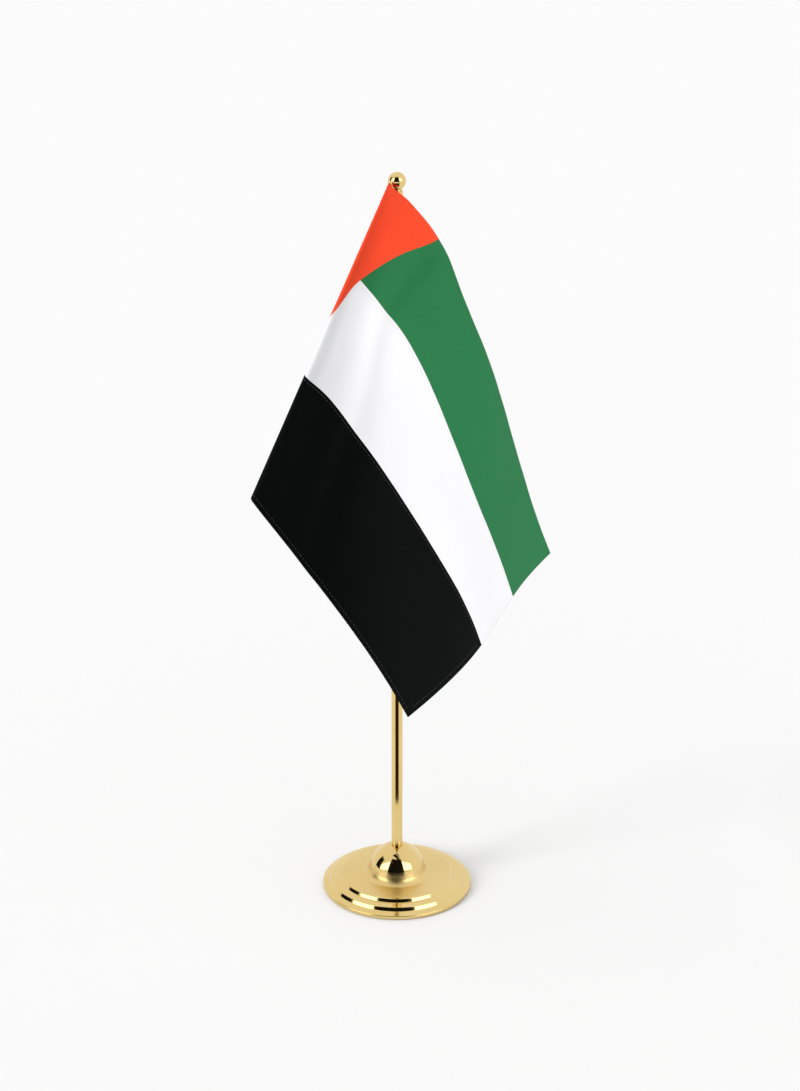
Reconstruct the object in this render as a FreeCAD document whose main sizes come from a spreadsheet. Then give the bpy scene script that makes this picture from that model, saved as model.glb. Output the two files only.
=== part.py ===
"""Desk flag stand: a spun, weighted base with a thin pole, a screwed ball finial and a draped cloth flag.

Frame: origin on the pole's axis at the underside of the felt, +Z up, the flag's fly towards -Y. Millimetres.
"""
import FreeCAD, Part
import math
import os
import re
import Sketcher
from FreeCAD import Placement, Rotation, Vector

doc = FreeCAD.newDocument("desk_flag_stand")

# ---------------------------------------------------------------- driving dimensions
SIZES = {
    # spun base shell, radii from the pole's axis and heights above the desk
    "base_radius": 40.0,
    "lip_height": 0.5,
    "rim_height": 1.8,
    "rim_round": 1.4,
    "outer_ridge_radius": 35.8,
    "outer_ridge_height": 4.7,
    "ledge_radius": 32.4,
    "ledge_height": 5.1,
    "inner_ridge_radius": 30.6,
    "plateau_height": 7.2,
    "dome_radius": 14.7,
    "dome_centre_height": 9.7,
    "dome_foot_height": 8.6,
    "dome_foot_flare": 1.8,
    "dome_top_height": 24.0,
    "shell_thickness": 0.8,
    # inside the base
    "felt_thickness": 1.2,
    "felt_radius": 38.6,
    "weight_gap": 0.3,
    "boss_seat_radius": 3.1,
    "counterbore_radius": 5.5,
    "counterbore_top": 8.0,
    # pole bolt, M3 x 30
    "bolt_radius": 1.5,
    "bolt_length": 30.0,
    "bolt_head_radius": 2.75,
    "bolt_head_height": 3.0,
    "bolt_socket_flats": 2.5,
    "bolt_socket_depth": 1.5,
    "bolt_hole_radius": 1.7,
    "flat_washer_radius": 4.5,
    "flat_washer_thickness": 0.8,
    "spring_washer_radius": 2.9,
    "spring_washer_thickness": 0.8,
    "spring_washer_gap": 0.8,
    # pole and its inserts
    "pole_radius": 3.0,
    "pole_wall": 0.5,
    "pole_top": 385.5,
    "insert_length": 14.0,
    "thread_clearance": 0.02,
    # finial, M3 thread
    "ball_radius": 4.5,
    "ball_centre_height": 390.2,
    "neck_radius": 2.4,
    "stud_radius": 1.5,
    "stud_engagement": 8.0,
    "stud_in_ball": 4.9,
    # flag cloth, measured flat
    "fly_length": 217.0,
    "hoist_height": 148.5,
    "red_width": 32.4,
    "green_height": 40.1,
    "white_height": 46.6,
    "cloth_thickness": 0.2,
    "seam_gap": 0.1,
    "corner_cut_along": 11.0,
    "corner_cut_down": 14.0,
    # pole sleeve
    "sleeve_clearance": 0.08,
    "sleeve_thickness": 0.5,
    "sleeve_tip_reach": 6.3,
    "sleeve_top": 385.2,
    # ring under the sleeve
    "ring_clearance": 0.05,
    "ring_section_radius": 1.3,
    "ring_to_sleeve_gap": 0.3,
    # where the cloth leaves the sleeve
    "seam_x": -3.6,
    "seam_y": -5.4,
    "seam_top": 390.6,
}

sheet = doc.addObject("Spreadsheet::Sheet", "Sizes")
for row, (alias, value) in enumerate(SIZES.items(), start=1):
    sheet.set(f"A{row}", alias)
    sheet.set(f"B{row}", str(value))
    sheet.setAlias(f"B{row}", alias)
doc.recompute()


def size(alias):
    """Value of one cell of the sheet."""
    return float(getattr(sheet, alias))


def bound(expression):
    """The expression with each alias pointing at the sheet."""
    return re.sub(r"[a-z]+(_[a-z]+)+", lambda word: f"Sizes.{word.group(0)}", expression)


def value_of(expression):
    """The expression's value, for the first placing of sketch geometry."""
    return float(sheet.evalExpression(bound(expression)))


# ---------------------------------------------------------------- sketch and body helpers
def new_body(label):
    body = doc.addObject("PartDesign::Body", label)
    body.Label = label
    return body


def origin_plane(body, role):
    return next(item for item in body.Origin.OriginFeatures if item.Role == role)


def new_sketch(body, name, role):
    sketch = body.newObject("Sketcher::SketchObject", name)
    sketch.AttachmentSupport = (origin_plane(body, role), [""])
    sketch.MapMode = "FlatFace"
    return sketch


def fix_point(sketch, geometry, end, across, up):
    """Hold one end of a sketch line at (across, up), both expressions of the sheet."""
    for kind, expression in (("DistanceX", across), ("DistanceY", up)):
        number = value_of(expression)
        if abs(number) < 1e-9:
            axis = -2 if kind == "DistanceX" else -1
            sketch.addConstraint(Sketcher.Constraint("PointOnObject", geometry, end, axis))
            continue
        index = sketch.addConstraint(Sketcher.Constraint(kind, -1, 1, geometry, end, number))
        sketch.setExpression(f"Constraints[{index}]", bound(expression))


def draw_outline(sketch, corners):
    """Closed outline through the corners.

    A corner is (across, up), or (across, up, "arc", height) where the run that leaves it is an arc
    about the point of the sketch's upright axis at that height.
    """
    points = [Vector(value_of(corner[0]), value_of(corner[1]), 0) for corner in corners]
    edges = []
    for index, corner in enumerate(corners):
        start = points[index]
        end = points[(index + 1) % len(points)]
        if len(corner) == 2:
            edges.append(sketch.addGeometry(Part.LineSegment(start, end), False))
            continue
        centre = Vector(0, value_of(corner[3]), 0)
        radius = (start - centre).Length
        middle = centre + ((start + end) * 0.5 - centre).normalize() * radius
        edges.append(sketch.addGeometry(Part.Arc(start, middle, end), False))
    for index, corner in enumerate(corners):
        edge = edges[index]
        following = edges[(index + 1) % len(edges)]
        if len(corner) == 2:
            fix_point(sketch, edge, 1, corner[0], corner[1])
            tail = 2
        else:
            start_end = nearest_end(sketch, edge, points[index])
            fix_point(sketch, edge, start_end, corner[0], corner[1])
            tail = 3 - start_end
            centre_height = sketch.addConstraint(
                Sketcher.Constraint("DistanceY", -1, 1, edge, 3, value_of(corner[3])))
            sketch.setExpression(f"Constraints[{centre_height}]", bound(corner[3]))
        head = 1
        if len(corners[(index + 1) % len(corners)]) > 2:
            head = nearest_end(sketch, following, points[(index + 1) % len(points)])
        sketch.addConstraint(Sketcher.Constraint("Coincident", edge, tail, following, head))


def nearest_end(sketch, edge, point):
    """1 or 2: the end of an arc that lies at the point."""
    first = sketch.getPoint(edge, 1)
    second = sketch.getPoint(edge, 2)
    return 1 if (first - point).Length < (second - point).Length else 2


def spun_body(label, corners):
    """A turned piece: the outline (radius, height) revolved about the pole's axis."""
    body = new_body(label)
    sketch = new_sketch(body, f"{label}_outline", "XZ_Plane")
    draw_outline(sketch, corners)
    spin = body.newObject("PartDesign::Revolution", f"{label}_spin")
    spin.Profile = sketch
    spin.ReferenceAxis = (sketch, ["V_Axis"])
    spin.Angle = 360.0
    body.Tip = spin
    doc.recompute()
    return body


def ring_corners(inner, outer, bottom, top):
    """Outline of a plain ring or tube."""
    return [(inner, bottom), (outer, bottom), (outer, top), (inner, top)]


# ---------------------------------------------------------------- base
def make_base_shell():
    inside = "shell_thickness"
    spun_body("base_shell", [
        (f"base_radius - {inside}", "lip_height"),
        ("base_radius", "lip_height"),
        ("base_radius", "rim_height"),
        ("base_radius - rim_round", "rim_height + rim_round"),
        ("outer_ridge_radius", "outer_ridge_height"),
        ("ledge_radius", "ledge_height"),
        ("inner_ridge_radius", "plateau_height"),
        ("dome_radius + dome_foot_flare", "plateau_height"),
        ("sqrt(dome_radius^2 - (dome_centre_height - dome_foot_height)^2)",
         "dome_foot_height", "arc", "dome_centre_height"),
        ("sqrt(dome_radius^2 - (dome_top_height - dome_centre_height)^2)", "dome_top_height"),
        ("bolt_hole_radius", "dome_top_height"),
        ("bolt_hole_radius", f"dome_top_height - {inside}"),
        (f"sqrt((dome_radius - {inside})^2 - (dome_top_height - {inside} - dome_centre_height)^2)",
         f"dome_top_height - {inside}", "arc", "dome_centre_height"),
        (f"sqrt((dome_radius - {inside})^2 - (dome_centre_height - dome_foot_height)^2)",
         "dome_foot_height"),
        (f"dome_radius + dome_foot_flare - {inside}", f"plateau_height - {inside}"),
        (f"inner_ridge_radius - {inside} / 2", f"plateau_height - {inside}"),
        (f"ledge_radius - {inside} / 2", f"ledge_height - {inside}"),
        (f"outer_ridge_radius - {inside} / 2", f"outer_ridge_height - {inside}"),
        (f"base_radius - rim_round - {inside} / 2", f"rim_height + rim_round - {inside}"),
        (f"base_radius - {inside}", f"rim_height - {inside} / 2"),
    ])


def make_base_weight():
    """Cast disc that fills the shell, with a boss up into the dome and a counterbore underneath."""
    gap = "(shell_thickness + weight_gap)"
    dome = f"(dome_radius - {gap})"
    boss_top = f"(dome_top_height - {gap})"
    spun_body("base_weight", [
        ("counterbore_radius", "felt_thickness"),
        ("felt_radius - weight_gap", "felt_thickness"),
        (f"outer_ridge_radius - {gap}", f"outer_ridge_height - {gap}"),
        (f"ledge_radius - {gap}", f"ledge_height - {gap}"),
        (f"inner_ridge_radius - {gap}", f"plateau_height - {gap}"),
        (dome, f"plateau_height - {gap}"),
        (f"sqrt({dome}^2 - (dome_centre_height - dome_foot_height)^2)",
         "dome_foot_height", "arc", "dome_centre_height"),
        (f"sqrt({dome}^2 - ({boss_top} - dome_centre_height)^2)", boss_top),
        ("boss_seat_radius", boss_top),
        ("boss_seat_radius", "dome_top_height - shell_thickness"),
        ("bolt_hole_radius", "dome_top_height - shell_thickness"),
        ("bolt_hole_radius", "counterbore_top"),
        ("counterbore_radius", "counterbore_top"),
    ])


def make_felt_pad():
    pad = doc.addObject("Part::Cylinder", "felt_pad")
    pad.Label = "felt_pad"
    pad.setExpression("Radius", bound("felt_radius"))
    pad.setExpression("Height", bound("felt_thickness"))


# ---------------------------------------------------------------- pole bolt and washers
WASHER_SEAT = "counterbore_top - flat_washer_thickness"
BOLT_SEAT = f"{WASHER_SEAT} - spring_washer_thickness"


def make_flat_washer():
    spun_body("flat_washer", ring_corners(
        "bolt_hole_radius", "flat_washer_radius", WASHER_SEAT, "counterbore_top"))


def make_spring_washer():
    body = spun_body("spring_washer", ring_corners(
        "bolt_hole_radius", "spring_washer_radius", BOLT_SEAT, WASHER_SEAT))
    sketch = new_sketch(body, "spring_washer_split", "XY_Plane")
    draw_outline(sketch, [
        ("bolt_radius / 2", "-spring_washer_gap / 2"),
        ("spring_washer_radius * 1.2", "-spring_washer_gap / 2"),
        ("spring_washer_radius * 1.2", "spring_washer_gap / 2"),
        ("bolt_radius / 2", "spring_washer_gap / 2"),
    ])
    cut_through(body, sketch)


def cut_through(body, sketch):
    """Pocket a sketch of the XY plane through the whole piece, and make sure that it cut."""
    before = body.Shape.Volume
    pocket = body.newObject("PartDesign::Pocket", f"{sketch.Name}_cut")
    pocket.Profile = sketch
    pocket.Type = "ThroughAll"
    pocket.Midplane = True
    body.Tip = pocket
    doc.recompute()
    if not body.Shape.Volume < before - 1e-3:
        raise RuntimeError(f"{sketch.Name} cut nothing")


def make_pole_bolt():
    """Socket-head bolt, up through the weight and the shell into the pole's lower insert."""
    body = spun_body("pole_bolt", [
        ("0", f"{BOLT_SEAT} - bolt_head_height"),
        ("bolt_head_radius", f"{BOLT_SEAT} - bolt_head_height"),
        ("bolt_head_radius", BOLT_SEAT),
        ("bolt_radius", BOLT_SEAT),
        ("bolt_radius", f"{BOLT_SEAT} + bolt_length"),
        ("0", f"{BOLT_SEAT} + bolt_length"),
    ])
    sketch = new_sketch(body, "pole_bolt_socket", "XY_Plane")
    across_corners = "bolt_socket_flats / cos(30)"
    draw_outline(sketch, [
        (f"{across_corners} / 2 * cos({60 * side})", f"{across_corners} / 2 * sin({60 * side})")
        for side in range(6)
    ])
    pocket = body.newObject("PartDesign::Pocket", "pole_bolt_socket_cut")
    pocket.Profile = sketch
    pocket.Reversed = True
    pocket.setExpression("Length", bound(f"{BOLT_SEAT} - bolt_head_height + bolt_socket_depth"))
    before = body.Shape.Volume
    body.Tip = pocket
    doc.recompute()
    if not body.Shape.Volume < before - 1e-3:
        raise RuntimeError("the bolt's socket cut nothing")


# ---------------------------------------------------------------- pole
def make_pole():
    spun_body("pole_tube", ring_corners(
        "pole_radius - pole_wall", "pole_radius", "dome_top_height", "pole_top"))
    spun_body("pole_insert_lower", ring_corners(
        "bolt_radius + thread_clearance", "pole_radius - pole_wall",
        "dome_top_height", "dome_top_height + insert_length"))
    spun_body("pole_insert_upper", ring_corners(
        "stud_radius + thread_clearance", "pole_radius - pole_wall",
        "pole_top - insert_length", "pole_top"))


# ---------------------------------------------------------------- finial
def make_finial():
    spun_body("finial_stud", [
        ("0", "pole_top - stud_engagement"),
        ("stud_radius", "pole_top - stud_engagement"),
        ("stud_radius", "pole_top + stud_in_ball"),
        ("0", "pole_top + stud_in_ball"),
    ])
    bore = "stud_radius + thread_clearance"
    spun_body("finial_ball", [
        (bore, "pole_top"),
        ("neck_radius", "pole_top"),
        ("neck_radius", "ball_centre_height - sqrt(ball_radius^2 - neck_radius^2)",
         "arc", "ball_centre_height"),
        ("0", "ball_centre_height + ball_radius"),
        ("0", "pole_top + stud_in_ball + 10 * thread_clearance"),
        (bore, "pole_top + stud_in_ball + 10 * thread_clearance"),
    ])


# ---------------------------------------------------------------- ring under the sleeve
def make_stop_ring():
    ring = doc.addObject("Part::Torus", "stop_ring")
    ring.Label = "stop_ring"
    ring.setExpression("Radius1", bound("pole_radius + ring_clearance + ring_section_radius"))
    ring.setExpression("Radius2", bound("ring_section_radius"))
    ring.setExpression("Placement.Base.z", bound(
        "seam_top - hoist_height - ring_to_sleeve_gap - ring_section_radius"))


# ---------------------------------------------------------------- flag sleeve
def draw_teardrop(sketch, radius, reach):
    """Circle about the pole closed by its two tangents to a tip at the given reach along +X."""
    circle = value_of(radius)
    tip = Vector(value_of(reach), 0, 0)
    half_angle = math.acos(circle / tip.x)
    upper = Vector(circle * math.cos(half_angle), circle * math.sin(half_angle), 0)
    lower = Vector(upper.x, -upper.y, 0)
    arc = sketch.addGeometry(Part.Arc(upper, Vector(-circle, 0, 0), lower), False)
    line_in = sketch.addGeometry(Part.LineSegment(lower, tip), False)
    line_out = sketch.addGeometry(Part.LineSegment(tip, upper), False)
    sketch.addConstraint(Sketcher.Constraint("Coincident", line_in, 2, line_out, 1))
    sketch.addConstraint(Sketcher.Constraint("Tangent", arc, 2, line_in, 1))
    sketch.addConstraint(Sketcher.Constraint("Tangent", line_out, 2, arc, 1))
    sketch.addConstraint(Sketcher.Constraint("Coincident", arc, 3, -1, 1))
    sketch.addConstraint(Sketcher.Constraint("PointOnObject", line_in, 2, -1))
    index = sketch.addConstraint(Sketcher.Constraint("Radius", arc, circle))
    sketch.setExpression(f"Constraints[{index}]", bound(radius))
    index = sketch.addConstraint(Sketcher.Constraint("DistanceX", -1, 1, line_in, 2, tip.x))
    sketch.setExpression(f"Constraints[{index}]", bound(reach))


def make_sleeve():
    """Cloth loop round the pole, teardrop in plan, with its tip where the flag leaves it."""
    body = new_body("flag_sleeve")
    sketch = new_sketch(body, "sleeve_plan", "XY_Plane")
    inner = "pole_radius + sleeve_clearance"
    outer = f"({inner} + sleeve_thickness)"
    draw_teardrop(sketch, outer, "sleeve_tip_reach")
    draw_teardrop(sketch, inner, f"sleeve_tip_reach * ({inner}) / {outer}")
    pad = body.newObject("PartDesign::Pad", "sleeve_length")
    pad.Profile = sketch
    pad.setExpression("Length", bound("sleeve_top - seam_top + hoist_height"))
    body.Tip = pad
    seam_direction = math.degrees(math.atan2(size("seam_y"), size("seam_x")))
    bottom = Vector(0, 0, size("seam_top") - size("hoist_height"))
    body.Placement = Placement(bottom, Rotation(Vector(0, 0, 1), seam_direction))


# ---------------------------------------------------------------- draped cloth
# The cloth is a flat sheet bent along straight lines, so it neither stretches nor shears. On the flat
# sheet, "along" runs from the sleeve to the fly and "down" from the top edge to the bottom edge. A
# crease is (where it starts along the top edge, its angle from straight down, how far it bends).
LEAVING_ANGLE = 3.643
FOLD_ANGLE = 0.492
FOLD_HALF_WIDTH = 0.035
FOLD_BEND = -2.97
FOLD_CREASES = 4
FRONT_CREASES = 16
FAN_SHARE = 0.2
FAN_ANGLE = 0.29
FLY_ANGLE = 0.183
FLY_ANGLE_POWER = 1.5
FRONT_BEND = (3.229, -2.4, -3.162)
FRONT_BEND_POWER = 3.5


def creases():
    """The cloth's bend lines, from the sleeve to the fly."""
    lines = []
    for number in range(FOLD_CREASES):
        part = (number + 0.5) / FOLD_CREASES
        angle = FOLD_ANGLE + FOLD_HALF_WIDTH * (2 * part - 1)
        lines.append((0.0, angle, FOLD_BEND * (1 - math.cos(2 * math.pi * part)) / FOLD_CREASES))
    for number in range(FRONT_CREASES):
        part = (number + 0.5) / FRONT_CREASES
        beyond_fan = max(0.0, part - FAN_SHARE) / (1 - FAN_SHARE)
        angle = FOLD_ANGLE + FOLD_HALF_WIDTH + FAN_ANGLE * min(part / FAN_SHARE, 1)
        angle += FLY_ANGLE * beyond_fan ** FLY_ANGLE_POWER
        start, slope, curl = FRONT_BEND
        bend = start + slope * part + curl * part ** FRONT_BEND_POWER
        lines.append((size("fly_length") * beyond_fan, angle, bend / FRONT_CREASES))
    return lines


def bent_strips():
    """The flat strips between creases: each its crease before, its crease after and its place."""
    along = Vector(math.cos(LEAVING_ANGLE), math.sin(LEAVING_ANGLE), 0)
    down = Vector(0, 0, -1)
    corner = Vector(size("seam_x"), size("seam_y"), size("seam_top"))
    place = Placement(corner, Rotation(along, down, along.cross(down), "XYZ"))
    strips = []
    before = None
    for start, angle, bend in creases():
        crease = (Vector(start, 0, 0), Vector(math.sin(angle), math.cos(angle), 0))
        strips.append((before, crease, place))
        turn = Rotation(crease[1], math.degrees(bend))
        place = place.multiply(Placement(Vector(), turn, crease[0]))
        before = crease
    strips.append((before, None, place))
    return strips


def side_of(crease, point):
    """Distance of a point of the flat sheet past a crease, towards the fly."""
    start, direction = crease
    offset = point - start
    return offset.x * direction.y - offset.y * direction.x


def clip(points, crease, sign):
    """The part of a polygon on one side of a crease."""
    kept = []
    for index, point in enumerate(points):
        following = points[(index + 1) % len(points)]
        here = sign * side_of(crease, point)
        there = sign * side_of(crease, following)
        if here >= 0:
            kept.append(point)
        if here * there < 0:
            kept.append(point + (following - point) * (here / (here - there)))
    return kept


def cloth_panel(label, outline):
    """A closed solid of cloth thickness: the flat outline laid on the bent sheet."""
    strips = bent_strips()
    normals = [place.Rotation.multVec(Vector(0, 0, 1)) for _, _, place in strips]
    half = size("cloth_thickness") / 2
    faces = []
    for index, (before, after, place) in enumerate(strips):
        polygon = outline
        if before:
            polygon = clip(polygon, before, 1)
        if after and polygon:
            polygon = clip(polygon, after, -1)
        if len(polygon) < 3:
            continue
        corners = []
        for point in polygon:
            on_before = bool(before) and abs(side_of(before, point)) < 1e-6
            on_after = bool(after) and abs(side_of(after, point)) < 1e-6
            mitre = normals[index]
            if on_before or on_after:
                other = normals[index - 1] if on_before else normals[index + 1]
                mitre = (normals[index] + other) * (1 / (1 + normals[index].dot(other)))
            middle = place.multVec(point)
            crease_of_point = before if on_before else after if on_after else None
            corners.append((middle + mitre * half, middle - mitre * half, crease_of_point))
        faces.append(Part.Face(Part.makePolygon([c[0] for c in corners] + [corners[0][0]])))
        faces.append(Part.Face(Part.makePolygon([c[1] for c in corners] + [corners[0][1]])))
        for number, corner in enumerate(corners):
            following = corners[(number + 1) % len(corners)]
            if corner[2] is not None and corner[2] is following[2]:
                continue
            faces.extend(edge_faces(corner, following))
    shell = Part.makeCompound(faces)
    shell.sewShape()
    solid = Part.makeSolid(shell.Shells[0])
    if solid.Volume < 0:
        solid.reverse()
    panel = doc.addObject("Part::Feature", label)
    panel.Label = label
    panel.Shape = solid
    return panel


def edge_faces(corner, following):
    """Two triangles that close the cloth's edge between two corners."""
    top, bottom, _ = corner
    next_top, next_bottom, _ = following
    return [
        Part.Face(Part.makePolygon([top, next_top, next_bottom, top])),
        Part.Face(Part.makePolygon([top, next_bottom, bottom, top])),
    ]


def rectangle(left, right, top, bottom):
    return [Vector(left, top, 0), Vector(right, top, 0), Vector(right, bottom, 0), Vector(left, bottom, 0)]


def make_panels():
    """Red hoist panel and the three fly stripes, seam to seam."""
    seam = size("seam_gap")
    fly = size("fly_length")
    bottom = size("hoist_height")
    red = size("red_width")
    cut_along = size("corner_cut_along")
    cut_down = size("corner_cut_down")
    green = size("green_height")
    white = green + size("white_height")
    red_outline = [
        Vector(0, cut_down, 0),
        Vector(cut_along, 0, 0),
        Vector(red - seam, 0, 0),
        Vector(red - seam, bottom, 0),
        Vector(0, bottom, 0),
    ]
    cloth_panel("hoist_panel_red", red_outline)
    cloth_panel("stripe_green", rectangle(red, fly, 0, green - seam))
    cloth_panel("stripe_white", rectangle(red, fly, green, white - seam))
    cloth_panel("stripe_black", rectangle(red, fly, white, bottom))


# ---------------------------------------------------------------- build, check and write
make_base_shell()
make_base_weight()
make_felt_pad()
make_flat_washer()
make_spring_washer()
make_pole_bolt()
make_pole()
make_finial()
make_stop_ring()
make_sleeve()
make_panels()
doc.recompute()

NODE_TYPES = ("PartDesign::Body", "Part::Feature", "Part::Cylinder", "Part::Torus")
for item in doc.Objects:
    if "Invalid" in item.State or "Error" in item.State:
        raise RuntimeError(f"{item.Label} failed: {item.State}")

nodes = [item for item in doc.Objects if item.TypeId in NODE_TYPES]
for node in nodes:
    if node.Shape.isNull() or not node.Shape.isValid() or not node.Shape.Solids:
        raise RuntimeError(f"{node.Label} has no valid solid")

os.makedirs("parts", exist_ok=True)
for node in nodes:
    node.Shape.exportStep(os.path.join("parts", f"{node.Label}.step"))
    print(node.Label, f"{node.Shape.Volume:.1f} mm3")
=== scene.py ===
"""Looks of the desk flag stand: gold plated base, pole and ball, and a satin flag draped on its sleeve.

Metres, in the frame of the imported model: origin at the underside of the felt, +Z up, viewer towards -Y.
Outlines and the cloth are worked out in millimetres and scaled by MM when their meshes are made.
"""
import bmesh
import bpy
import math
import numpy as np
from mathutils import Matrix, Vector


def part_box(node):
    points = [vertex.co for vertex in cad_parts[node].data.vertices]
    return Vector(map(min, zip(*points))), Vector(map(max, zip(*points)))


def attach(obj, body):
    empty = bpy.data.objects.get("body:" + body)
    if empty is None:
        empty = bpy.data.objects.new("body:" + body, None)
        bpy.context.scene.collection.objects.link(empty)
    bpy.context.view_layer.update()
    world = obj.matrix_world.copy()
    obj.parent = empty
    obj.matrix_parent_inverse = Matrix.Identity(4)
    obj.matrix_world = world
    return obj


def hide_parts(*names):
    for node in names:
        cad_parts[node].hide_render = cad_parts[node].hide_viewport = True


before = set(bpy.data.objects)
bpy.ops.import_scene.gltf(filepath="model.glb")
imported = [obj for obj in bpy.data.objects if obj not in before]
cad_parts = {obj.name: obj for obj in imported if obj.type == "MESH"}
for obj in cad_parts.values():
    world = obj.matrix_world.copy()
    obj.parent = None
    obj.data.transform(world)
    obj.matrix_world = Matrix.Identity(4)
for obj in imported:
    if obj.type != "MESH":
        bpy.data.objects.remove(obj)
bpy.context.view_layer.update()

MM = 0.001


# ---------------------------------------------------------------- mesh helpers
def add_mesh(name, points, faces, material, smooth=True, uvs=None):
    """A mesh object from points in metres; uvs is one pair for each point."""
    mesh = bpy.data.meshes.new(name)
    mesh.from_pydata([tuple(p) for p in points], [], [tuple(f) for f in faces])
    mesh.polygons.foreach_set("use_smooth", [smooth] * len(mesh.polygons))
    if uvs is not None:
        layer = mesh.uv_layers.new(name="flat")
        corner_points = np.empty(len(mesh.loops), np.int32)
        mesh.loops.foreach_get("vertex_index", corner_points)
        layer.data.foreach_set("uv", np.asarray(uvs, np.float32)[corner_points].ravel())
    mesh.materials.append(material)
    mesh.update()
    piece = bpy.data.objects.new(name, mesh)
    bpy.context.scene.collection.objects.link(piece)
    return piece


def face_outwards(piece):
    """Make the normals of a closed mesh point out."""
    work = bmesh.new()
    work.from_mesh(piece.data)
    bmesh.ops.recalc_face_normals(work, faces=work.faces)
    work.to_mesh(piece.data)
    work.free()


def rounded(corners, step=math.radians(9)):
    """An outline of (radius, height, rounding) corners with each corner turned into an arc."""
    outline = []
    count = len(corners)
    for index, (radius, height, rounding) in enumerate(corners):
        here = Vector((radius, height))
        before = Vector(corners[index - 1][:2])
        after = Vector(corners[(index + 1) % count][:2])
        if rounding == 0:
            outline.append(here)
            continue
        into = (before - here).normalized()
        out = (after - here).normalized()
        half = into.angle(out) / 2
        reach = rounding / math.tan(half)
        centre = here + (into + out).normalized() * (rounding / math.sin(half))
        first = here + into * reach - centre
        last = here + out * reach - centre
        turn = first.angle_signed(last)
        pieces = max(2, math.ceil(abs(turn) / step))
        for number in range(pieces + 1):
            angle = -turn * number / pieces
            outline.append(centre + Matrix.Rotation(angle, 2) @ first)
    return outline


def lathe(name, outline, material, segments=160):
    """A closed outline of (radius, height) points in metres, turned about the pole's axis."""
    points = []
    faces = []
    rings = []
    for radius, height in outline:
        if radius < 1e-7:
            rings.append([len(points)] * segments)
            points.append((0, 0, height))
            continue
        rings.append(list(range(len(points), len(points) + segments)))
        for number in range(segments):
            angle = 2 * math.pi * number / segments
            points.append((radius * math.cos(angle), radius * math.sin(angle), height))
    for index, ring in enumerate(rings):
        following = rings[(index + 1) % len(rings)]
        for number in range(segments):
            other = (number + 1) % segments
            face = [ring[number], ring[other], following[other], following[number]]
            face = list(dict.fromkeys(face))
            if len(face) > 2:
                faces.append(face)
    piece = add_mesh(name, points, faces, material)
    face_outwards(piece)
    return piece


# ---------------------------------------------------------------- material helpers
def new_material(name, **sockets):
    """A Principled material; sockets are its values, with _ for a space."""
    material = bpy.data.materials.new(name)
    material.use_nodes = True
    shader = material.node_tree.nodes["Principled BSDF"]
    for socket, value in sockets.items():
        shader.inputs[socket.replace("_", " ")].default_value = value
    return material, material.node_tree, shader


def add_node(tree, kind, **settings):
    node = tree.nodes.new(kind)
    for setting, value in settings.items():
        setattr(node, setting, value)
    return node


def set_inputs(node, **values):
    for socket, value in values.items():
        node.inputs[socket.replace("_", " ")].default_value = value
    return node


def colour_ramp(tree, stops):
    ramp = add_node(tree, "ShaderNodeValToRGB")
    elements = ramp.color_ramp.elements
    while len(elements) < len(stops):
        elements.new(0.5)
    for element, (position, colour) in zip(elements, stops):
        element.position = position
        element.color = (*colour, 1)
    return ramp


def bump(tree, shader, height, strength, distance):
    """Add a bump from a height output, on top of any bump that is already there."""
    node = add_node(tree, "ShaderNodeBump")
    set_inputs(node, Strength=strength, Distance=distance)
    tree.links.new(height, node.inputs["Height"])
    already = shader.inputs["Normal"].links
    if already:
        tree.links.new(already[0].from_socket, node.inputs["Normal"])
    tree.links.new(node.outputs["Normal"], shader.inputs["Normal"])


def math_node(tree, operation, *values):
    """A math node fed by sockets or numbers; returns its output."""
    node = add_node(tree, "ShaderNodeMath", operation=operation)
    for number, value in enumerate(values):
        if isinstance(value, (int, float)):
            node.inputs[number].default_value = value
        else:
            tree.links.new(value, node.inputs[number])
    return node.outputs["Value"]


def between(tree, value, low, high, softness):
    """1 where value is between low and high, fading out over softness."""
    steps = []
    for first, last in ((low - softness, low + softness), (high + softness, high - softness)):
        step = add_node(tree, "ShaderNodeMapRange")
        set_inputs(step, From_Min=first, From_Max=last)
        tree.links.new(value, step.inputs["Value"])
        steps.append(step.outputs["Result"])
    return math_node(tree, "MULTIPLY", *steps)


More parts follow.
